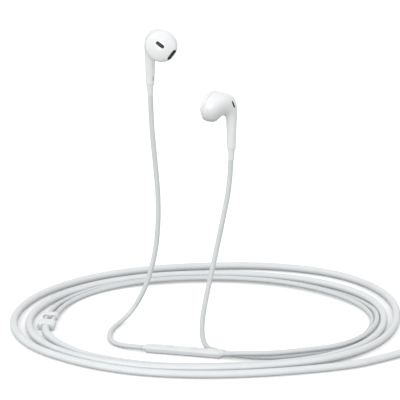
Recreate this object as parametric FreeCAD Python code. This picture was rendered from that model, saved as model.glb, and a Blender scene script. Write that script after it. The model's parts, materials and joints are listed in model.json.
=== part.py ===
import FreeCAD, Part
import math
import os

# Wired earphones, in millimetres: two half-in-ear buds, an inline remote, a Y splitter with its
# slider, a four-pole 3.5 mm plug and the four cords between them.
# The shapes are placed in a lay frame, whose floor is z = 0 and whose origin is the middle of the
# laid loops. Every shape is then moved so that the origin is the left bud's ear seat.

V = FreeCAD.Vector
X_AXIS = V(1, 0, 0)
Y_AXIS = V(0, 1, 0)
Z_AXIS = V(0, 0, 1)

# ---- driving dimensions -------------------------------------------------------------------------
THIN_R = 1.25                   # cords above the splitter
MAIN_R = 1.92                   # cord from the splitter to the plug
BORE_GAP = 0.03                 # between a cord and the relief that grips it

# bud: origin at the bottom of the stem, stem along z
HEAD = V(5.7, -7.0, 22.6)       # middle of the seam between cover and housing
HEAD_R = 7.85
HEAD_TILT = 9                   # the speaker axis points this much above the horizon
HEAD_TURN = -8                  # and this much to the left of -y
NECK_WAY = V(-0.625, 0.781, 0)  # level direction from the head to the stem
NECK_LEFT = V(-0.781, -0.625, 0)
NECK_TURN = 128.7               # its angle from x
WALL = 0.85
STEM_R = 2.1
BUD_RELIEF_LEN = 5.3

# one row per section of the housing: its middle along NECK_WAY from the head's middle, to the left
# of it and above it, its radius up and down and across, the slope of its axis below the horizon,
# and the turn of that axis from NECK_WAY
HOUSING_SECTIONS = (
    (0.0, 0.0, 0.0, HEAD_R, HEAD_R, HEAD_TILT, 90 + HEAD_TURN - NECK_TURN),
    (1.05, -0.85, 0.0, 7.8, 7.78, 10, -43.4),
    (2.65, -1.5, 0.0, 7.6, 7.19, 12, -36.2),
    (4.35, -1.6, 0.1, 7.0, 6.19, 17, -27.4),
    (6.0, -1.15, 0.1, 6.15, 4.98, 25, -17.5),
    (7.6, -0.5, -0.9, 4.9, 3.93, 38, -7.3),
    (8.55, -0.05, -2.8, 3.85, 3.25, 52, 0),
    (8.99, 0.0, -5.1, 3.0, 2.8, 67, 0),
    (9.03, 0.0, -8.0, 2.55, 2.5, 90, 0),
    (9.03, 0.0, -15.0, 2.3, 2.3, 90, 0),
    (9.03, 0.0, -20.8, STEM_R, STEM_R, 90, 0),
    (9.03, 0.0, -22.1, STEM_R - 0.1, STEM_R - 0.1, 90, 0),
    (9.03, 0.0, -22.6, STEM_R - 0.3, STEM_R - 0.3, 90, 0),
)

# where each bud stands, and its turn about the stem
BUDS = {
    "left": (V(-27.3, 2.0, 127.4), 0),
    "right": (V(12.4, -34.0, 107.3), 240),
}

# remote
REMOTE_AT = V(-11.0, -38.5, 0)
REMOTE_TURN = -11
REMOTE_L = 37.4
REMOTE_W = 5.0
REMOTE_H = 3.7
REMOTE_WALL = 0.6
REMOTE_AXIS_Z = 1.9
REMOTE_RELIEF_LEN = 1.4
REMOTE_COLLAR = 0.7             # thickness of the collar beside the right end face
BUTTONS = {"volume_up": (-10.9, 9.2), "play": (0.0, 10.8), "volume_down": (10.9, 9.2)}
BUTTON_W = 2.7
BUTTON_PROUD = 0.15
BUTTON_GAP = 0.12

# splitter and slider, lying with their axis near y
SPLIT_AT = V(-80.4, -7.8, 2.15)
SPLIT_TURN = -8.6
SPLIT_W = 9.2
SPLIT_L = 5.6
SPLIT_H = 4.3
SLIDER_W = 8.0
SLIDER_L = 3.6
SLIDER_H = 3.8
SLIDER_BEYOND = 10.6            # from the splitter's middle to the slider's
TWIN_PITCH = 4.0                # between the two thin cords there

# plug, lying along x
PLUG_AT = V(119.0, -36.0, 3.0)  # where the relief meets the body
PLUG_BODY_R = 3.0
PLUG_BODY_L = 16.0
PLUG_RELIEF_L = 10.0
PIN_R = 1.75
PIN_RUN = (("plug_sleeve", 5.2), ("plug_ring_2", 2.4), ("plug_ring_1", 2.4), ("plug_tip", 3.4))
PIN_BAND = 0.5                  # insulating band between two contacts

# the loops: every station is this many degrees on, on an oval wider than it is deep
STATION = 22.5
OVAL = 0.79
FIRST_STATION = -135
LOOP_RADII = (
    81.0, 77.0, 72.6, 75.4, 84.4, 90.9, 92.6, 92.6, 84.6, 76.1, 72.2, 74.2, 79.6, 86.0, 91.4, 92.0,
    86.8, 82.2, 78.3, 80.9, 89.4, 95.8, 98.9, 103.4, 102.2, 93.4, 85.8, 86.4, 90.8, 95.8, 99.6, 99.0,
    91.9, 86.9, 83.9, 87.0, 99.6,
)
LOOP_LIFTS = {16: 0.3, 17: 1.2, 18: 1.4, 19: 1.4, 20: 0.7}   # where the second turn rides on the first

SEAT_DEPTH = 4.3                # from the seam to the tip of the cover's dome
FLAT_OUT = 6.2                  # from the head's middle to the flat round the side slot
FLAT_WAY = 45                   # the flat faces this much to the side of the speaker axis
FLAT_TURN = 35                  # and lies this far below the head's right side


# ---- small helpers ------------------------------------------------------------------------------
def cylinder(radius, length, at=V(0, 0, 0), along=Z_AXIS):
    return Part.makeCylinder(radius, length, at, along)


def tube(outer, inner, length, at=V(0, 0, 0), along=Z_AXIS):
    return cylinder(outer, length, at, along).cut(cylinder(inner, length, at, along))


def box(size, middle):
    return Part.makeBox(size.x, size.y, size.z, middle - size * 0.5)


def turned(shape, degrees, about=V(0, 0, 0), axis=Z_AXIS):
    shape = shape.copy()
    shape.rotate(about, axis, degrees)
    return shape


def moved(shape, by):
    shape = shape.copy()
    shape.translate(by)
    return shape


def pill(length, width, depth):
    """A slot's cutter: long along x, wide along z, from y = 0 to y = depth."""
    half = (length - width) / 2
    body = box(V(2 * half, depth, width), V(0, depth / 2, 0))
    for side in (-half, half):
        body = body.fuse(cylinder(width / 2, depth, V(side, 0, 0), Y_AXIS))
    return body.removeSplitter()


def stadium(width, height, length):
    """A bar along y with round sides, from y = -length / 2 to length / 2, its edges eased."""
    half = (width - height) / 2
    bar = box(V(2 * half, length, height), V(0, 0, 0))
    for side in (-half, half):
        bar = bar.fuse(cylinder(height / 2, length, V(side, -length / 2, 0), Y_AXIS))
    bar = bar.removeSplitter()
    ends = [e for e in bar.Edges if abs(abs(e.CenterOfMass.y) - length / 2) < 1e-6]
    return bar.makeFillet(0.5, ends)


# ---- bud ----------------------------------------------------------------------------------------
def section_wire(row, inset):
    along, aside, height, high, wide, slope, turn = row
    level = FreeCAD.Rotation(Z_AXIS, turn).multVec(NECK_WAY)
    level.normalize()
    s, c = math.sin(math.radians(slope)), math.cos(math.radians(slope))
    axis = level * c - Z_AXIS * s
    up = level * s + Z_AXIS * c
    side = up.cross(axis)
    at = HEAD + NECK_WAY * along + NECK_LEFT * aside + Z_AXIS * height
    up = up * (high - inset)
    side = side * (wide - inset)
    frame = FreeCAD.Matrix(up.x, side.x, axis.x, at.x, up.y, side.y, axis.y, at.y,
                           up.z, side.z, axis.z, at.z, 0, 0, 0, 1)
    circle = Part.Wire([Part.Circle(V(0, 0, 0), Z_AXIS, 1).toShape()])
    return circle.transformGeometry(frame)


def in_head(shape):
    """From the head's own frame, speaker axis along -y, to the bud's frame."""
    shape = turned(shape, -HEAD_TILT, axis=X_AXIS)
    shape = turned(shape, HEAD_TURN)
    return moved(shape, HEAD)


def cover_line(inset):
    """The cover's outline from its tip to the seam, moved in by inset, as two arcs."""
    tip = V(0, -SEAT_DEPTH + inset, 0)
    dome = V(3.3 - 0.1 * inset, -3.95 + inset, 0)
    rim = V(6.4 - 0.45 * inset, -2.85 + 0.9 * inset, 0)
    shoulder = V(7.43 - 0.85 * inset, -1.95 + 0.45 * inset, 0)
    seam = V(HEAD_R - inset, -0.15, 0)
    return Part.Arc(tip, dome, rim).toShape(), Part.Arc(rim, shoulder, seam).toShape()


def cover_skin(outside, inside):
    out_dome, out_side = cover_line(outside)
    in_dome, in_side = cover_line(inside)
    tips = Part.makeLine(in_dome.Vertexes[0].Point, out_dome.Vertexes[0].Point)
    seams = Part.makeLine(out_side.Vertexes[-1].Point, in_side.Vertexes[-1].Point)
    outline = Part.Wire(Part.__sortEdges__([tips, out_dome, out_side, seams, in_side, in_dome]))
    return Part.Face(outline).revolve(V(0, 0, 0), Y_AXIS, 360)


def front_slot(grow=0.0):
    slot = pill(4.7 + grow, 1.8 + grow, 3.2)
    slot = turned(slot, 34, axis=Y_AXIS)
    return moved(slot, V(0, -5.2, 1.2))


def on_flat(shape):
    """To the head's frame, from one with its origin on the cover's side flat, outward along -y."""
    shape = turned(moved(shape, V(3.35, -FLAT_OUT, 0)), FLAT_WAY)
    return turned(shape, FLAT_TURN, axis=Y_AXIS)


def side_slot():
    return on_flat(turned(pill(6.2, 2.1, 2.0), 90, axis=Y_AXIS))


def rear_slit(grow=0.0):
    """The vent behind the head, along the neck's outer bend."""
    slit = box(V(5.0, 0.7 + grow, 3.8 + grow), V(2.5, 0, 0))
    slit = turned(slit, 20, axis=X_AXIS)
    slit = turned(slit, NECK_TURN - 90)
    return moved(slit, HEAD + NECK_WAY * 9.4 + Z_AXIS * 1.5)


def stem_slit():
    """The vent low on the stem."""
    slit = box(V(3.0, 0.7, 2.6), V(1.5, 0, 3.6))
    return turned(slit, -42)


def housing_wires(inset):
    return [section_wire(row, inset) for row in HOUSING_SECTIONS]


def housing_solid(inset):
    return Part.makeLoft(housing_wires(inset), True, False)


def housing_wall():
    """The housing's outer and inner skin, closed by a ring at the seam and one under the stem."""
    outside, inside = housing_wires(0), housing_wires(WALL)
    faces = Part.makeLoft(outside, False, False).Faces + Part.makeLoft(inside, False, False).Faces
    for end in (0, -1):
        ring = Part.Face(outside[end]).cut(Part.Face(inside[end]))
        faces += ring.Faces
    wall = Part.Solid(Part.Shell(faces))
    wall.fix(0.001, 0.001, 0.001)
    return wall


def rear_shell():
    bore = cylinder(STEM_R - 0.6, 6.0, V(0, 0, -1))
    return housing_wall().cut(bore).cut(rear_slit()).cut(stem_slit())


def rear_vent_mesh():
    inside = rear_slit(0.8).common(housing_solid(WALL + 0.03))
    return inside.cut(housing_solid(WALL + 0.2))


def front_cover():
    beyond_flat = on_flat(box(V(7, 1, 7), V(0, -0.5, 0)))
    return cover_skin(0, 0.8).cut(beyond_flat).cut(front_slot()).cut(side_slot())


def front_mesh():
    return cover_skin(0.25, 0.5).common(front_slot(-0.06))


def side_mesh():
    plate = turned(pill(6.14, 2.04, 0.25), 90, axis=Y_AXIS)
    return on_flat(moved(plate, V(0, 0.08, 0)))


def driver_frame():
    rim = tube(6.2, 5.25, 2.5, V(0, -1.6, 0), Y_AXIS)
    flange = tube(6.8, 6.2, 0.45, V(0, -0.1, 0), Y_AXIS)
    back = tube(6.2, 3.92, 0.4, V(0, 0.5, 0), Y_AXIS)
    return rim.fuse(flange).fuse(back).removeSplitter()


def driver_yoke():
    wall = tube(3.9, 3.4, 1.6, V(0, 0.1, 0), Y_AXIS)
    base = cylinder(3.9, 0.5, V(0, 1.7, 0), Y_AXIS)
    return wall.fuse(base).removeSplitter()


def driver_magnet():
    return cylinder(2.6, 1.1, V(0, 0.6, 0), Y_AXIS)


def driver_plate():
    return cylinder(2.75, 0.5, V(0, 0.1, 0), Y_AXIS)


def diaphragm():
    """A shallow dome inside a flat flange, both 0.12 thick."""
    thick = 0.12
    flange = tube(4.2, 2.9, thick, V(0, -1.5, 0), Y_AXIS)
    outer = Part.Arc(V(0, -2.1, 0), V(1.5, -1.95, 0), V(2.95, -1.5, 0)).toShape()
    inner = Part.Arc(V(0, -2.1 + thick, 0), V(1.48, -1.95 + thick, 0), V(2.95, -1.5 + thick, 0)).toShape()
    ends = [Part.makeLine(a.Point, b.Point) for a, b in zip(outer.Vertexes, inner.Vertexes)]
    outline = Part.Wire(Part.__sortEdges__([outer, ends[1], inner, ends[0]]))
    dome = Part.Face(outline).revolve(V(0, 0, 0), Y_AXIS, 360)
    return flange.fuse(dome).removeSplitter()


def surround():
    return tube(5.2, 4.3, 0.12, V(0, -1.5, 0), Y_AXIS)


def voice_coil():
    return tube(3.2, 3.0, 1.8, V(0, -1.38, 0), Y_AXIS)


def gasket():
    return tube(6.1, 5.25, 0.4, V(0, -2.02, 0), Y_AXIS)


def terminal_board():
    return box(V(4.6, 0.5, 2.2), V(0, 2.48, 0))


def bud_relief():
    """A tapered sleeve below the stem, with a shank up into it."""
    cone = Part.makeCone(1.36, 1.62, BUD_RELIEF_LEN, V(0, 0, -BUD_RELIEF_LEN))
    shank = cylinder(STEM_R - 0.62, 1.6)
    relief = cone.fuse(shank)
    return relief.cut(cylinder(THIN_R + BORE_GAP, 9, V(0, 0, -6.5)))


def cord_anchor():
    return cylinder(STEM_R - 0.65, 1.9, V(0, 0, 1.62))


def bud_pieces():
    """Every piece of one bud, in the bud's frame."""
    in_head_frame = {
        "front_cover": front_cover(), "front_mesh": front_mesh(), "side_mesh": side_mesh(),
        "driver_frame": driver_frame(), "driver_yoke": driver_yoke(), "driver_magnet": driver_magnet(),
        "driver_plate": driver_plate(), "diaphragm": diaphragm(), "surround": surround(),
        "voice_coil": voice_coil(), "gasket": gasket(), "terminal_board": terminal_board(),
    }
    pieces = {name: in_head(shape) for name, shape in in_head_frame.items()}
    pieces["rear_shell"] = rear_shell()
    pieces["rear_vent_mesh"] = rear_vent_mesh()
    pieces["strain_relief"] = bud_relief()
    pieces["cord_anchor"] = cord_anchor()
    return pieces


# ---- remote -------------------------------------------------------------------------------------
def in_remote(shape):
    """From the remote's own frame, long along x, to the lay frame."""
    return moved(turned(shape, REMOTE_TURN), REMOTE_AT)


def remote_outside():
    bar = box(V(REMOTE_L, REMOTE_W, REMOTE_H), V(0, 0, REMOTE_H / 2))
    long_edges = [e for e in bar.Edges if e.BoundBox.XLength > REMOTE_L / 2]
    bar = bar.makeFillet(1.3, long_edges)
    ends = [e for e in bar.Edges if e.BoundBox.XLength < 1e-6]
    return bar.makeFillet(0.45, ends)


def remote_cavity():
    w = REMOTE_WALL
    return box(V(REMOTE_L - 2 * w, REMOTE_W - 2 * w, REMOTE_H - 2 * w), V(0, 0, REMOTE_H / 2))


def button_face(name, grow, low, high):
    at, length = BUTTONS[name]
    face = pill(length + 2 * grow, BUTTON_W + 2 * grow, high - low)
    face = turned(face, 90, axis=X_AXIS)
    return moved(face, V(at, 0, low))


def remote_case():
    """The upper and the lower half of the case."""
    shell = remote_outside().cut(remote_cavity())
    split = 1.95
    big = V(REMOTE_L + 2, REMOTE_W + 2, REMOTE_H)
    upper = shell.common(box(big, V(0, 0, split + 0.02 + REMOTE_H / 2)))
    lower = shell.common(box(big, V(0, 0, split - REMOTE_H / 2)))
    for name in BUTTONS:
        upper = upper.cut(button_face(name, BUTTON_GAP, 2, 5))
    upper = upper.cut(cylinder(0.4, 2, V(16.95, 0, 2.5)))
    for x, way in ((REMOTE_L / 2 - 2, X_AXIS), (2 - REMOTE_L / 2, -X_AXIS)):
        hole = cylinder(THIN_R + BORE_GAP, 4, V(x, 0, REMOTE_AXIS_Z), way)
        upper = upper.cut(hole)
        lower = lower.cut(hole)
    return upper, lower


def button(name):
    """A proud pill with a flange that the case keeps in."""
    top = REMOTE_H + BUTTON_PROUD
    cap = button_face(name, 0, 2.7, top)
    rim = [e for e in cap.Edges if abs(e.CenterOfMass.z - top) < 1e-6 and e.BoundBox.ZLength < 1e-6]
    cap = cap.makeFillet(0.2, rim)
    return cap.fuse(button_face(name, 0.3, 2.7, 2.95)).removeSplitter()


def keypad():
    pad = box(V(31.5, 3.2, 0.15), V(0, 0, 2.2))
    for name, (at, _) in BUTTONS.items():
        pad = pad.fuse(cylinder(0.8, 0.1, V(at, 0, 2.25)))
    return pad.removeSplitter()


def dome_switches():
    return Part.Compound([cylinder(1.3, 0.2, V(at, 0, 1.9)) for at, _ in BUTTONS.values()])


def circuit_board():
    return box(V(33.5, 3.4, 0.4), V(0, 0, 1.69))


def microphone():
    return box(V(1.7, 2.0, 0.9), V(16.85, 0, 2.42))


def microphone_mesh():
    return cylinder(0.75, 0.12, V(16.95, 0, 2.95))


def remote_relief(side):
    """A short tapered sleeve; the right one has a collar that nearly fills the end face."""
    end = V(REMOTE_L / 2, 0, REMOTE_AXIS_Z)
    relief = Part.makeCone(1.7, 1.4, REMOTE_RELIEF_LEN, end, X_AXIS)
    if side > 0:
        size = V(REMOTE_COLLAR, REMOTE_W - 0.7, REMOTE_H - 0.5)
        collar = box(size, V(end.x + REMOTE_COLLAR / 2, 0, REMOTE_H / 2))
        collar = collar.makeFillet(1.2, [e for e in collar.Edges if e.BoundBox.XLength > REMOTE_COLLAR / 2])
        relief = relief.fuse(collar).removeSplitter()
    relief = relief.cut(cylinder(THIN_R + BORE_GAP, 5, end - X_AXIS, X_AXIS))
    return relief if side > 0 else turned(relief, 180)


def remote_pieces():
    upper, lower = remote_case()
    pieces = {
        "remote_upper_case": upper, "remote_lower_case": lower, "remote_keypad": keypad(),
        "remote_dome_switches": dome_switches(), "remote_circuit_board": circuit_board(),
        "remote_microphone": microphone(), "remote_microphone_mesh": microphone_mesh(),
        "remote_left_relief": remote_relief(-1), "remote_right_relief": remote_relief(1),
    }
    for name in BUTTONS:
        pieces[name + "_button"] = button(name)
    return {name: in_remote(shape) for name, shape in pieces.items()}


def remote_end(side, beyond=0.0):
    """The point on the remote's axis that is beyond its end face."""
    return in_remote_point(V(side * (REMOTE_L / 2 + beyond), 0, REMOTE_AXIS_Z))


def in_remote_point(point):
    return FreeCAD.Rotation(Z_AXIS, REMOTE_TURN).multVec(point) + REMOTE_AT


# ---- splitter and slider ------------------------------------------------------------------------
def in_splitter(shape):
    return moved(turned(shape, SPLIT_TURN), SPLIT_AT)


def splitter_point(across, along):
    return FreeCAD.Rotation(Z_AXIS, SPLIT_TURN).multVec(V(across, along, 0)) + SPLIT_AT


def twin_bores(radius, start, length):
    first = cylinder(radius, length, V(-TWIN_PITCH / 2, start, 0), Y_AXIS)
    return first.fuse(cylinder(radius, length, V(TWIN_PITCH / 2, start, 0), Y_AXIS))


def splitter_pieces():
    outside = stadium(SPLIT_W, SPLIT_H, SPLIT_L)
    shell = outside.cut(box(V(6.6, 2.4, 2.9), V(0, 0, 0)))
    shell = shell.cut(cylinder(MAIN_R + BORE_GAP, 3, V(0, -4, 0), Y_AXIS))
    shell = shell.cut(twin_bores(THIN_R + BORE_GAP, 1, 3))
    core = box(V(6.5, 2.3, 2.8), V(0, 0, 0))
    slider = stadium(SLIDER_W, SLIDER_H, SLIDER_L)
    slider = moved(slider.cut(twin_bores(THIN_R + 0.15, -3, 6)), V(0, SLIDER_BEYOND, 0))
    pieces = {"splitter_shell": shell, "splitter_core": core, "slider": slider}
    return {name: in_splitter(shape) for name, shape in pieces.items()}


# ---- plug ---------------------------------------------------------------------------------------
def plug_body():
    body = cylinder(PLUG_BODY_R, PLUG_BODY_L, PLUG_AT, X_AXIS)
    body = body.makeFillet(0.5, [e for e in body.Edges if e.BoundBox.XLength < 1e-6])
    socket = cylinder(1.2, 4.1, PLUG_AT + X_AXIS * (PLUG_BODY_L - 4), X_AXIS)
    return body.cut(socket)


def plug_relief():
    start = PLUG_AT - X_AXIS * PLUG_RELIEF_L
    cone = Part.makeCone(MAIN_R + 0.25, PLUG_BODY_R - 0.4, PLUG_RELIEF_L, start, X_AXIS)
    return cone.cut(cylinder(MAIN_R + BORE_GAP, PLUG_RELIEF_L, start, X_AXIS))


def tip_contact(start, length):
    """The pin's last contact: a waist that the socket's spring drops into, then a cone."""
    outline = [V(0, 0, 0), V(0, PIN_R, 0), V(0.6, PIN_R, 0), V(1.3, 1.15, 0), V(1.9, PIN_R - 0.15, 0),
               V(length, 0.35, 0), V(length, 0, 0), V(0, 0, 0)]
    return moved(Part.Face(Part.makePolygon(outline)).revolve(V(0, 0, 0), X_AXIS, 360), start)


def plug_pieces():
    pieces = {"plug_body": plug_body(), "plug_relief": plug_relief()}
    at = PLUG_AT + X_AXIS * PLUG_BODY_L
    core_r = 0.6
    bands = [cylinder(1.19, 3.9, at - X_AXIS * 3.9, X_AXIS)]
    for name, length in PIN_RUN:
        if name == "plug_tip":
            pieces[name] = tip_contact(at, length)
        else:
            pieces[name] = tube(PIN_R, core_r, length, at, X_AXIS)
            core = cylinder(core_r, length, at, X_AXIS)
            band = cylinder(PIN_R, PIN_BAND, at + X_AXIS * length, X_AXIS)
            bands += [core, band]
            length += PIN_BAND
        at = at + X_AXIS * length
    pieces["plug_insulator"] = bands[0].multiFuse(bands[1:]).removeSplitter()
    return pieces


# ---- cords --------------------------------------------------------------------------------------
def bud_point(side, x, y, z):
    at, turn = BUDS[side]
    return FreeCAD.Rotation(Z_AXIS, turn).multVec(V(x, y, z)) + at


def loop_points():
    points = []
    for count, radius in enumerate(LOOP_RADII):
        angle = math.radians(FIRST_STATION + STATION * count)
        height = MAIN_R + LOOP_LIFTS.get(count, 0)
        points.append(V(radius * math.cos(angle), radius * OVAL * math.sin(angle), height))
    return points


def left_route():
    hang = [V(-27.1, 2, 110), V(-25.2, 2, 88), V(-23.4, 2, 66), V(-24.2, 2, 44), V(-27.2, 2, 27),
            V(-31.0, 2.4, 14), V(-36.2, 2.6, 4.6), V(-42.6, -1.5, THIN_R), V(-47.4, -9, THIN_R),
            V(-49.8, -18.5, THIN_R), V(-48.6, -26.6, THIN_R), V(-43.4, -31.8, 1.4)]
    return [bud_point("left", 0, 0, 1.6)] + hang + [remote_end(-1, 7.2), remote_end(-1, -0.6)]


def remote_route():
    lay = [V(21.5, -44.0, 5.2), V(29.0, -43.0, 5.2), V(37.5, -40.8, THIN_R), V(50, -36.8, THIN_R),
           V(61.5, -31.4, THIN_R), V(71.2, -24.8, 2.4), V(79.0, -15.0, 4.9), V(88.0, 0, 4.9),
           V(79.8, 25.7, THIN_R), V(55.4, 43.4, THIN_R), V(26.9, 51.3, THIN_R), V(0, 52.9, THIN_R),
           V(-26.2, 50.0, THIN_R), V(-51.8, 40.9, THIN_R), V(-71.8, 25.3, THIN_R)]
    return [remote_end(1, -0.6), remote_end(1, 6.6)] + lay + twin_end(-1)


def right_route():
    lay = [V(12.1, -34, 91), V(8.7, -34, 72), V(4.9, -34, 52), V(1.2, -34, 34), V(-1.6, -34, 21),
           V(-2.6, -34, 13.6), V(-2.4, -34, 7.7), V(0.1, -34.2, 3.6), V(4.3, -35.0, THIN_R),
           V(11.0, -37.4, THIN_R), V(18.5, -40.4, THIN_R), V(27.0, -44.8, THIN_R), V(38.5, -46.2, THIN_R),
           V(54.0, -42.4, THIN_R), V(67.4, -35.2, THIN_R), V(79.2, -24.6, THIN_R), V(84.2, 0, THIN_R),
           V(76.5, 24.1, THIN_R), V(53.2, 40.7, THIN_R), V(26.0, 48.2, THIN_R), V(0, 49.9, THIN_R),
           V(-24.8, 47.0, THIN_R), V(-49.4, 38.1, THIN_R), V(-67.5, 25.2, THIN_R)]
    return [bud_point("right", 0, 0, 1.6)] + lay + twin_end(1)


def twin_end(side):
    across = side * TWIN_PITCH / 2
    return [splitter_point(across, 18), splitter_point(across, 1.16)]


def main_route():
    start = [splitter_point(0, -1.16), splitter_point(0, -7.0), V(-80.4, -21.0, MAIN_R),
             V(-75.6, -27.9, MAIN_R), V(-68.0, -36.0, MAIN_R)]
    to_plug = [V(86.5, -47.5, MAIN_R), V(98.5, -40.5, 2.2)]
    return start + loop_points() + to_plug + [PLUG_AT - X_AXIS * 11.5, PLUG_AT]


def cord_solid(name, route, radius):
    """A tube on straight runs joined by tangent arcs, each as large as its two runs allow."""
    runs = [(b - a) for a, b in zip(route, route[1:])]
    edges = []
    at = route[0]
    radii = []
    for here, before, after in zip(route[1:], runs, runs[1:]):
        way_in, way_out = V(before).normalize(), V(after).normalize()
        half_turn = way_in.getAngle(way_out) / 2
        cut = 0.45 * min(before.Length, after.Length)
        arc_r = cut / math.tan(half_turn)
        inward = (way_out - way_in).normalize()
        start, end = here - way_in * cut, here + way_out * cut
        middle = here + inward * (arc_r / math.cos(half_turn) - arc_r)
        edges.append(Part.LineSegment(at, start).toShape())
        edges.append(Part.Arc(start, middle, end).toShape())
        radii.append(arc_r)
        at = end
    edges.append(Part.LineSegment(at, route[-1]).toShape())
    path = Part.Wire(edges)
    profile = Part.Wire([Part.Circle(route[0], runs[0], radius).toShape()])
    solid = path.makePipeShell([profile], True, False)
    expected = math.pi * radius ** 2 * path.Length
    print("%-12s length %7.1f  radii %.1f to %.1f  volume / expected %.4f  valid %s" % (
        name, path.Length, min(radii), max(radii), solid.Volume / expected, solid.isValid()))
    print("   radii", " ".join("%.0f" % r for r in radii))
    return solid


def cords():
    return {
        "left_cord": cord_solid("left_cord", left_route(), THIN_R),
        "right_cord": cord_solid("right_cord", right_route(), THIN_R),
        "remote_cord": cord_solid("remote_cord", remote_route(), THIN_R),
        "main_cord": cord_solid("main_cord", main_route(), MAIN_R),
    }


# ---- whole part ---------------------------------------------------------------------------------
def ear_seat():
    tip = in_head(Part.Vertex(0, -SEAT_DEPTH, 0)).Point
    return bud_point("left", tip.x, tip.y, tip.z)


def all_pieces():
    pieces = {}
    bud = bud_pieces()
    for side, (at, turn) in BUDS.items():
        for name, shape in bud.items():
            pieces[side + "_" + name] = moved(turned(shape, turn), at)
    pieces.update(remote_pieces())
    pieces.update(splitter_pieces())
    pieces.update(plug_pieces())
    pieces.update(cords())
    return pieces


def main():
    os.makedirs("parts", exist_ok=True)
    seat = ear_seat()
    print("ear seat in the lay frame", seat)
    for name, shape in all_pieces().items():
        moved(shape, -seat).exportStep("parts/%s.step" % name)


main()
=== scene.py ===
import json
import math

import bpy
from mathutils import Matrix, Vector


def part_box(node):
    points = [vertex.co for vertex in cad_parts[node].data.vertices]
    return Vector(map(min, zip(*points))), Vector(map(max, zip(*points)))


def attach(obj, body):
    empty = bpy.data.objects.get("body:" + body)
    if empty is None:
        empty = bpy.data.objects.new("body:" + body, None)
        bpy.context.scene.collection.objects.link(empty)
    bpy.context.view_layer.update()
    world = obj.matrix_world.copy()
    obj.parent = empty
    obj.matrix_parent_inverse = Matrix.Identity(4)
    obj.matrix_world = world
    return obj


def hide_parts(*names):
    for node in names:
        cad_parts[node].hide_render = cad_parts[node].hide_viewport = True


# White wired earphones: two half-in-ear buds, an inline remote, a splitter with its slider, a
# four-pole plug, and four cords laid in loose turns on a pale floor. Route points are in
# millimetres from the middle of the laid loops, on the floor; lay() turns them into the CAD frame.

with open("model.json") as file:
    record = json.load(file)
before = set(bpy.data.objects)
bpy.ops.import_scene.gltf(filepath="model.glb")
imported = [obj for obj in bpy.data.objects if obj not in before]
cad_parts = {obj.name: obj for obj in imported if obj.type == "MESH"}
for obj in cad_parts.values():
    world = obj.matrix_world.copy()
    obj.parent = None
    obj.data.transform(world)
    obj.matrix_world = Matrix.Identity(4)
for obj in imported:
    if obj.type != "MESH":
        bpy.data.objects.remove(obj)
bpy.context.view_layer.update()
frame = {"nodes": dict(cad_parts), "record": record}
nodes = frame["nodes"]
BASE = "earphones"              # the body that holds everything that doesn't move

MM = 0.001
THIN_R = 1.25                   # cords above the splitter
MAIN_R = 1.92                   # cord from the splitter to the plug
PLUG_MIDDLE = (127.0, -36.0, 3.0)   # the middle of the plug's body on the route's axes

CAMERA_ELEVATION = 22           # degrees above the floor
CAMERA_DISTANCE = 1400          # millimetres, as are the next three
CAMERA_AIM = (-2.75, 0, 67.0)
CAMERA_LENS = 252
CAMERA_SENSOR = 36
CAMERA_NEAREST = 0.05           # metres

FLOOR_SIZE = 6.0                # metres
FLOOR_BELOW = 0.05              # millimetres, so that the floor is just under the lowest cord
FLOOR_GLOW = 0.14

# the dome's strength rises from LOW to HIGH as its direction's z goes from FROM to TO
WORLD_FROM = -0.9
WORLD_TO = 0.15
WORLD_LOW = 0.08
WORLD_HIGH = 1.02

# name, place, point it faces, size in metres, watts
LIGHTS = (
    ("key", (-900, -500, 900), (0, 0, 60), 0.5, 1.5),
    ("front", (-400, -1390, 350), (0, 0, 110), 0.9, 7.5),
    ("back", (400, 1350, 350), (0, 0, 110), 0.9, 1.0),
)


def middle(node):
    """The middle of a CAD node's box."""
    low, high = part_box(node)
    return (Vector(low) + Vector(high)) / 2


LAY = middle("plug_body") - Vector(PLUG_MIDDLE) * MM


def lay(x, y, z):
    """A route point in the CAD frame, in metres."""
    return LAY + Vector((x, y, z)) * MM


# ---- node material helpers ----------------------------------------------------------------------
# noise scales: the higher, the finer
CLOUDS = 90.0
METAL_CLOUDS = 300.0
SMEARS = 600.0
THREAD_SMEARS = 900.0
METAL_SMEARS = 1500.0
PAPER_CLOUDS = 4.0
MOST_OF_NOISE = (0.3, 0.7)      # where nearly all of a noise's values lie


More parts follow.
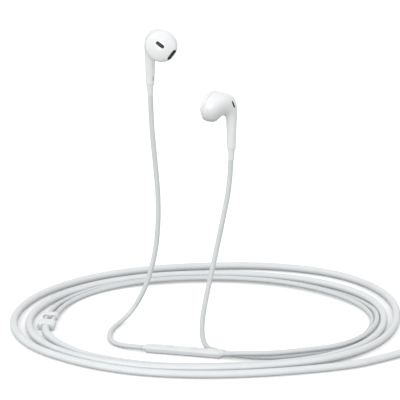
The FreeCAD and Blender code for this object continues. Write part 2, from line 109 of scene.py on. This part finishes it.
class Nodes:
    """A material's node tree, with short calls to add nodes and join them."""

    def __init__(self, name):
        self.material = bpy.data.materials.new(name)
        self.material.use_nodes = True
        self.tree = self.material.node_tree
        self.shader = self.tree.nodes["Principled BSDF"]
        self.place = self.add("ShaderNodeTexCoord").outputs["Object"]

    def add(self, kind, **settings):
        node = self.tree.nodes.new(kind)
        for key, value in settings.items():
            if hasattr(node, key):
                setattr(node, key, value)
            else:
                node.inputs[key.replace("_", " ")].default_value = value
        return node

    def join(self, output, target):
        self.tree.links.new(output, target)

    def noise(self, scale, detail=2.0):
        node = self.add("ShaderNodeTexNoise", Scale=scale, Detail=detail)
        self.join(self.place, node.inputs["Vector"])
        return node.outputs["Fac"]

    def ramp(self, value, low, high, at=(0.0, 1.0)):
        node = self.add("ShaderNodeValToRGB")
        for element, place, colour in zip(node.color_ramp.elements, at, (low, high)):
            element.position = place
            element.color = (*colour, 1.0)
        self.join(value, node.inputs["Fac"])
        return node.outputs["Color"]

    def span(self, value, low, high):
        node = self.add("ShaderNodeMapRange")
        node.inputs["To Min"].default_value = low
        node.inputs["To Max"].default_value = high
        self.join(value, node.inputs["Value"])
        return node.outputs["Result"]

    def colour(self, value, low, high, at=(0.0, 1.0)):
        self.join(self.ramp(value, low, high, at), self.shader.inputs["Base Color"])

    def rough(self, low, high, scale):
        self.join(self.span(self.noise(scale), low, high), self.shader.inputs["Roughness"])

    def bump(self, height, strength, distance):
        node = self.add("ShaderNodeBump", Strength=strength, Distance=distance)
        self.join(height, node.inputs["Height"])
        self.join(node.outputs["Normal"], self.shader.inputs["Normal"])

    def set(self, **values):
        for key, value in values.items():
            self.shader.inputs[key.replace("_", " ")].default_value = value


def moulded(name, low, high, rough, grain_mm, bump_mm, coat=0.0):
    """Moulded plastic, rubber or foam: a faintly cloudy tone, varied roughness and a fine grain."""
    m = Nodes(name)
    m.colour(m.noise(CLOUDS), low, high, MOST_OF_NOISE)
    m.rough(rough - 0.05, rough + 0.05, SMEARS)
    m.bump(m.noise(1000.0 / grain_mm, 3.0), 0.5, bump_mm * MM)
    m.set(Coat_Weight=coat, Coat_Roughness=0.08, IOR=1.5)
    return m.material


def woven_mesh(name, pitch_mm):
    """Dark woven cloth: two crossed sets of round threads."""
    m = Nodes(name)
    waves = []
    for direction in ("X", "Z"):
        wave = m.add("ShaderNodeTexWave", bands_direction=direction, Scale=1000.0 / pitch_mm / 3.14)
        m.join(m.place, wave.inputs["Vector"])
        waves.append(wave.outputs["Fac"])
    weave = m.add("ShaderNodeMath", operation="MAXIMUM")
    m.join(waves[0], weave.inputs[0])
    m.join(waves[1], weave.inputs[1])
    m.colour(weave.outputs[0], (0.004, 0.004, 0.005), (0.045, 0.045, 0.05))
    m.rough(0.35, 0.6, THREAD_SMEARS)
    m.bump(weave.outputs[0], 0.8, 0.04 * MM)
    m.set(Metallic=0.3)
    return m.material


def metal(name, low, high, rough):
    """Plated metal with fine turning marks around the x axis."""
    m = Nodes(name)
    m.colour(m.noise(METAL_CLOUDS), low, high, MOST_OF_NOISE)
    m.rough(rough - 0.04, rough + 0.06, METAL_SMEARS)
    rings = m.add("ShaderNodeTexWave", bands_direction="X", Scale=2500.0, Distortion=0.4)
    m.join(m.place, rings.inputs["Vector"])
    m.bump(rings.outputs["Fac"], 0.15, 0.01 * MM)
    m.set(Metallic=1.0)
    return m.material


def solder_mask(name):
    """Green board lacquer over a brick pattern of tracks."""
    m = Nodes(name)
    tracks = m.add("ShaderNodeTexBrick", Scale=900.0)
    m.join(m.place, tracks.inputs["Vector"])
    m.colour(tracks.outputs["Fac"], (0.01, 0.10, 0.03), (0.03, 0.22, 0.08))
    m.set(Roughness=0.35)
    return m.material


BUD = moulded("bud_plastic", (0.735, 0.745, 0.75), (0.765, 0.775, 0.78), 0.24, 0.35, 0.004, coat=0.25)
CASE = moulded("case_plastic", (0.67, 0.685, 0.695), (0.70, 0.715, 0.725), 0.36, 0.25, 0.006)
MAIN_JACKET = moulded("cord_jacket", (0.64, 0.66, 0.67), (0.67, 0.69, 0.70), 0.42, 0.45, 0.010)
# painted shade: the thin cords' jacket is a darker copy of the main cord's jacket, standing in for the
# shade round their narrow edges
THIN_JACKET_PAINTED_SHADE = moulded("thin_cord_jacket_painted_shade", (0.58, 0.60, 0.61), (0.61, 0.63, 0.64), 0.42, 0.45, 0.010)
RELIEF = moulded("relief_elastomer", (0.69, 0.71, 0.72), (0.72, 0.74, 0.75), 0.48, 0.30, 0.010)
MESH = woven_mesh("acoustic_mesh", 0.22)
NICKEL = metal("nickel_plate", (0.72, 0.72, 0.73), (0.82, 0.82, 0.83), 0.18)
STEEL = metal("driver_steel", (0.50, 0.50, 0.52), (0.64, 0.64, 0.66), 0.34)
COPPER = metal("copper_winding", (0.62, 0.30, 0.16), (0.75, 0.42, 0.24), 0.35)
BOARD = solder_mask("solder_mask")
FOAM = moulded("black_foam", (0.02, 0.02, 0.02), (0.05, 0.05, 0.05), 0.85, 0.15, 0.03)
FILM = moulded("diaphragm_film", (0.45, 0.45, 0.42), (0.62, 0.62, 0.58), 0.30, 0.20, 0.01)

SLOT_MATERIALS = {
    "bud_shell": BUD, "acoustic_mesh": MESH, "relief": RELIEF, "cord_jacket": MAIN_JACKET, "crimp": STEEL,
    "driver_steel": STEEL, "magnet": STEEL, "diaphragm_film": FILM, "copper_wire": COPPER, "seal": FOAM,
    "board": BOARD, "keypad_rubber": RELIEF, "switch_metal": NICKEL, "remote_case": CASE,
    "button_plastic": CASE, "splitter_plastic": CASE, "plug_plastic": CASE, "insulator": RELIEF,
    "contact_metal": NICKEL,
}


def dress_cad():
    """Every CAD node gets the procedural material of its slot."""
    for entry in frame["record"]["subparts"]:
        node = nodes[entry["node"]]
        node.data.materials.clear()
        node.data.materials.append(SLOT_MATERIALS[entry["material_slot"]])


def dress(piece, material, body=BASE):
    """Gives a new piece its material and the body that carries it."""
    piece.data.materials.append(material)
    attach(piece, body)


# ---- cords --------------------------------------------------------------------------------------
def cord(name, route, radius_mm, jacket):
    """A round cord whose centreline is one smooth spline over the route's points."""
    curve = bpy.data.curves.new(name, "CURVE")
    curve.dimensions = "3D"
    curve.bevel_depth = radius_mm * MM
    curve.bevel_resolution = 6
    curve.resolution_u = 12
    curve.use_fill_caps = True
    spline = curve.splines.new("NURBS")
    spline.points.add(len(route) - 1)
    for point, place in zip(spline.points, route):
        point.co = (*place, 1.0)
    spline.use_smooth = True
    spline.order_u = 3
    spline.use_endpoint_u = True
    piece = bpy.data.objects.new(name, curve)
    bpy.context.scene.collection.objects.link(piece)
    dress(piece, jacket)
    return piece


LEFT_POINTS = (
    (-27.3, 2, 129.0), (-27.1, 2, 110), (-25.2, 2, 88), (-23.4, 2, 66), (-24.2, 2, 44), (-27.6, 2, 27),
    (-32.2, 2.2, 14), (-38.0, 1.8, 4.6), (-43.4, -3.0, THIN_R), (-47.0, -10.5, THIN_R),
    (-48.4, -18.5, THIN_R), (-47.4, -25.8, THIN_R), (-43.0, -30.6, 1.4), (-36.42, -33.56, 1.9),
    (-28.77, -35.05, 1.9),
)
REMOTE_POINTS = (
    (6.77, -41.95, 1.9), (11.0, -42.85, 2.15), (16.3, -44.5, 3.4), (24.0, -45.4, 3.75), (34.0, -45.2, 3.78),
    (46.0, -42.4, 3.78), (58.0, -39.3, 3.78), (68.0, -35.2, 3.78), (76.0, -28.2, 3.6), (82.4, -19.2, 3.5),
    (86.4, -8.6, 3.2), (87.5, 1.5, 2.7), (86.6, 11.0, 1.9), (82.6, 19.4, THIN_R), (74.6, 28.4, THIN_R),
    (60.0, 39.6, THIN_R), (40.0, 48.8, THIN_R), (16.5, 53.2, THIN_R), (-8.0, 53.3, THIN_R),
    (-31.0, 50.2, 1.25), (-53.6, 41.8, 1.5), (-70.6, 28.0, THIN_R), (-79.69, 10.30, 2.15),
    (-82.20, -6.35, 2.15),
)
RIGHT_POINTS = (
    (12.4, -34, 108.9), (12.1, -34, 91), (8.7, -34, 72), (4.9, -34, 52), (1.2, -34.3, 34),
    (-1.2, -35.0, 21), (-1.9, -35.7, 12.8), (-1.3, -36.0, 6.2), (1.0, -36.3, 2.2),
    (5.0, -36.8, THIN_R), (10.4, -39.9, THIN_R), (17.5, -42.7, THIN_R), (25.5, -44.5, THIN_R),
    (35.0, -44.7, THIN_R), (46.5, -42.1, THIN_R), (58.0, -39.1, THIN_R), (67.6, -34.9, THIN_R),
    (75.4, -27.2, THIN_R), (81.0, -17.0, THIN_R), (84.6, -6.5, THIN_R), (85.2, 2.5, THIN_R),
    (83.4, 11.0, THIN_R), (79.2, 18.6, 1.7), (71.6, 27.2, 2.1),
    (58.4, 37.3, 2.3), (39.4, 46.4, 2.3), (16.5, 50.9, 2.3), (-8.0, 51.0, 2.3), (-30.9, 47.7, 2.2),
    (-51.8, 40.0, 1.4), (-66.8, 27.4, THIN_R), (-75.73, 9.70, 2.15), (-78.25, -6.95, 2.15),
)
SPLITTER_TO_LOOPS = (
    (-80.57, -8.95, 2.15), (-81.0, -12.0, 2.15), (-79.7, -19.6, MAIN_R), (-75.2, -27.6, MAIN_R),
    (-68.0, -36.0, MAIN_R),
)
LOOPS_TO_PLUG = ((86.5, -47.5, MAIN_R), (98.5, -40.5, 2.2), (107.5, -36.0, 3.0), (119.0, -36.0, 3.0))

# the loops' radii, one a station, on an oval wider than it is deep
STATION = 22.5
OVAL = 0.79
FIRST_STATION = -135
LOOP_RADII = (
    81.0, 77.0, 72.6, 75.4, 84.4, 90.9, 92.6, 92.6, 84.6, 76.1, 72.2, 74.2, 79.6, 86.0, 91.4, 92.0,
    86.8, 82.2, 78.3, 80.9, 89.4, 95.8, 98.9, 103.4, 102.2, 93.4, 85.8, 86.4, 90.8, 95.8, 99.6, 99.0,
    91.9, 86.9, 83.9, 87.0, 99.6,
)
# how far a station is lifted, where the second turn rides on the first
LOOP_LIFTS = {16: 0.3, 17: 1.2, 18: 1.4, 19: 1.4, 20: 0.7}


def loop_points():
    """The main cord's loose turns, as points at equal angles round the oval."""
    points = []
    for count, radius in enumerate(LOOP_RADII):
        angle = math.radians(FIRST_STATION + STATION * count)
        height = MAIN_R + LOOP_LIFTS.get(count, 0)
        points.append((radius * math.cos(angle), radius * OVAL * math.sin(angle), height))
    return points


def make_cords():
    main_points = [*SPLITTER_TO_LOOPS, *loop_points(), *LOOPS_TO_PLUG]
    thin = (THIN_R, THIN_JACKET_PAINTED_SHADE)
    thick = (MAIN_R, MAIN_JACKET)
    remote_parts = [n for n in nodes if n.startswith("remote_") and n != "remote_cord"]
    remote_parts += ["volume_up_button", "play_button", "volume_down_button"]
    plug_parts = [n for n in nodes if n.startswith("plug_")]
    # name, points, radius and jacket, length in metres, far end, lay, pieces on it
    for name, points, (radius, jacket), length, end, style, parts in (
        ("left_cord", LEFT_POINTS, thin, 0.180, "fitting", "hanging", remote_parts),
        ("right_cord", RIGHT_POINTS, thin, 0.436, "fitting", "hanging", ["splitter_shell", "slider"]),
        ("remote_cord", REMOTE_POINTS, thin, 0.331, "object", "loose", []),
        ("main_cord", main_points, thick, 1.228, "plug", "loose", plug_parts),
    ):
        route = [lay(*p) for p in points]
        piece = cord(name + "_jacket", route, radius, jacket)
        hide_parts(name)


# ---- stage --------------------------------------------------------------------------------------
def make_floor():
    """Matt white paper with a faint glow that thins the shadows; it throws no light on the cords."""
    bpy.ops.mesh.primitive_plane_add(size=FLOOR_SIZE, location=lay(0, 0, -FLOOR_BELOW))
    floor = bpy.context.object
    floor.name = "floor"
    floor.visible_diffuse = False
    floor.visible_glossy = False
    m = Nodes("floor_paper")
    m.colour(m.noise(PAPER_CLOUDS), (0.94, 0.94, 0.94), (0.96, 0.96, 0.96))
    m.set(Roughness=0.9, Specular_IOR_Level=0.0, Emission_Color=(1, 1, 1, 1),
          Emission_Strength=FLOOR_GLOW)
    floor.data.materials.append(m.material)


def soft_light(name, place_mm, aim_mm, size, power):
    """A round area light at one point of the route's axes, turned towards another."""
    light = bpy.data.lights.new(name, "AREA")
    light.shape = "DISK"
    light.size = size
    light.energy = power
    lamp = bpy.data.objects.new(name, light)
    lamp.location = lay(*place_mm)
    lamp.rotation_mode = "QUATERNION"
    lamp.rotation_quaternion = (lay(*aim_mm) - lamp.location).to_track_quat("-Z", "Y")
    bpy.context.scene.collection.objects.link(lamp)


def make_world():
    """A soft dome, bright overhead and dim below, which shades the undersides of the cords."""
    world = bpy.data.worlds.new("studio")
    world.use_nodes = True
    tree = world.node_tree
    place = tree.nodes.new("ShaderNodeTexCoord")
    split = tree.nodes.new("ShaderNodeSeparateXYZ")
    shade = tree.nodes.new("ShaderNodeMapRange")
    shade.inputs["From Min"].default_value = WORLD_FROM
    shade.inputs["From Max"].default_value = WORLD_TO
    shade.inputs["To Min"].default_value = WORLD_LOW
    shade.inputs["To Max"].default_value = WORLD_HIGH
    tree.links.new(place.outputs["Generated"], split.inputs["Vector"])
    tree.links.new(split.outputs["Z"], shade.inputs["Value"])
    tree.links.new(shade.outputs["Result"], tree.nodes["Background"].inputs["Strength"])
    tree.nodes["Background"].inputs["Color"].default_value = (1, 1, 1, 1)
    bpy.context.scene.world = world


def make_light():
    """The dome and the area lights, shown without tone mapping."""
    make_world()
    for row in LIGHTS:
        soft_light(*row)
    bpy.context.scene.view_settings.view_transform = "Standard"


def make_camera():
    """A long lens that looks along +y and down at the middle of the buds and loops."""
    elevation = math.radians(CAMERA_ELEVATION)
    away = Vector((0, -math.cos(elevation), math.sin(elevation)))
    camera = bpy.data.objects.new("camera", bpy.data.cameras.new("camera"))
    camera.data.sensor_width = CAMERA_SENSOR
    camera.data.lens = CAMERA_LENS
    camera.data.clip_start = CAMERA_NEAREST
    camera.location = lay(*CAMERA_AIM) + away * CAMERA_DISTANCE * MM
    camera.rotation_euler = (math.pi / 2 - elevation, 0, 0)
    bpy.context.scene.collection.objects.link(camera)
    bpy.context.scene.camera = camera


dress_cad()
make_cords()
make_floor()
make_light()
make_camera()
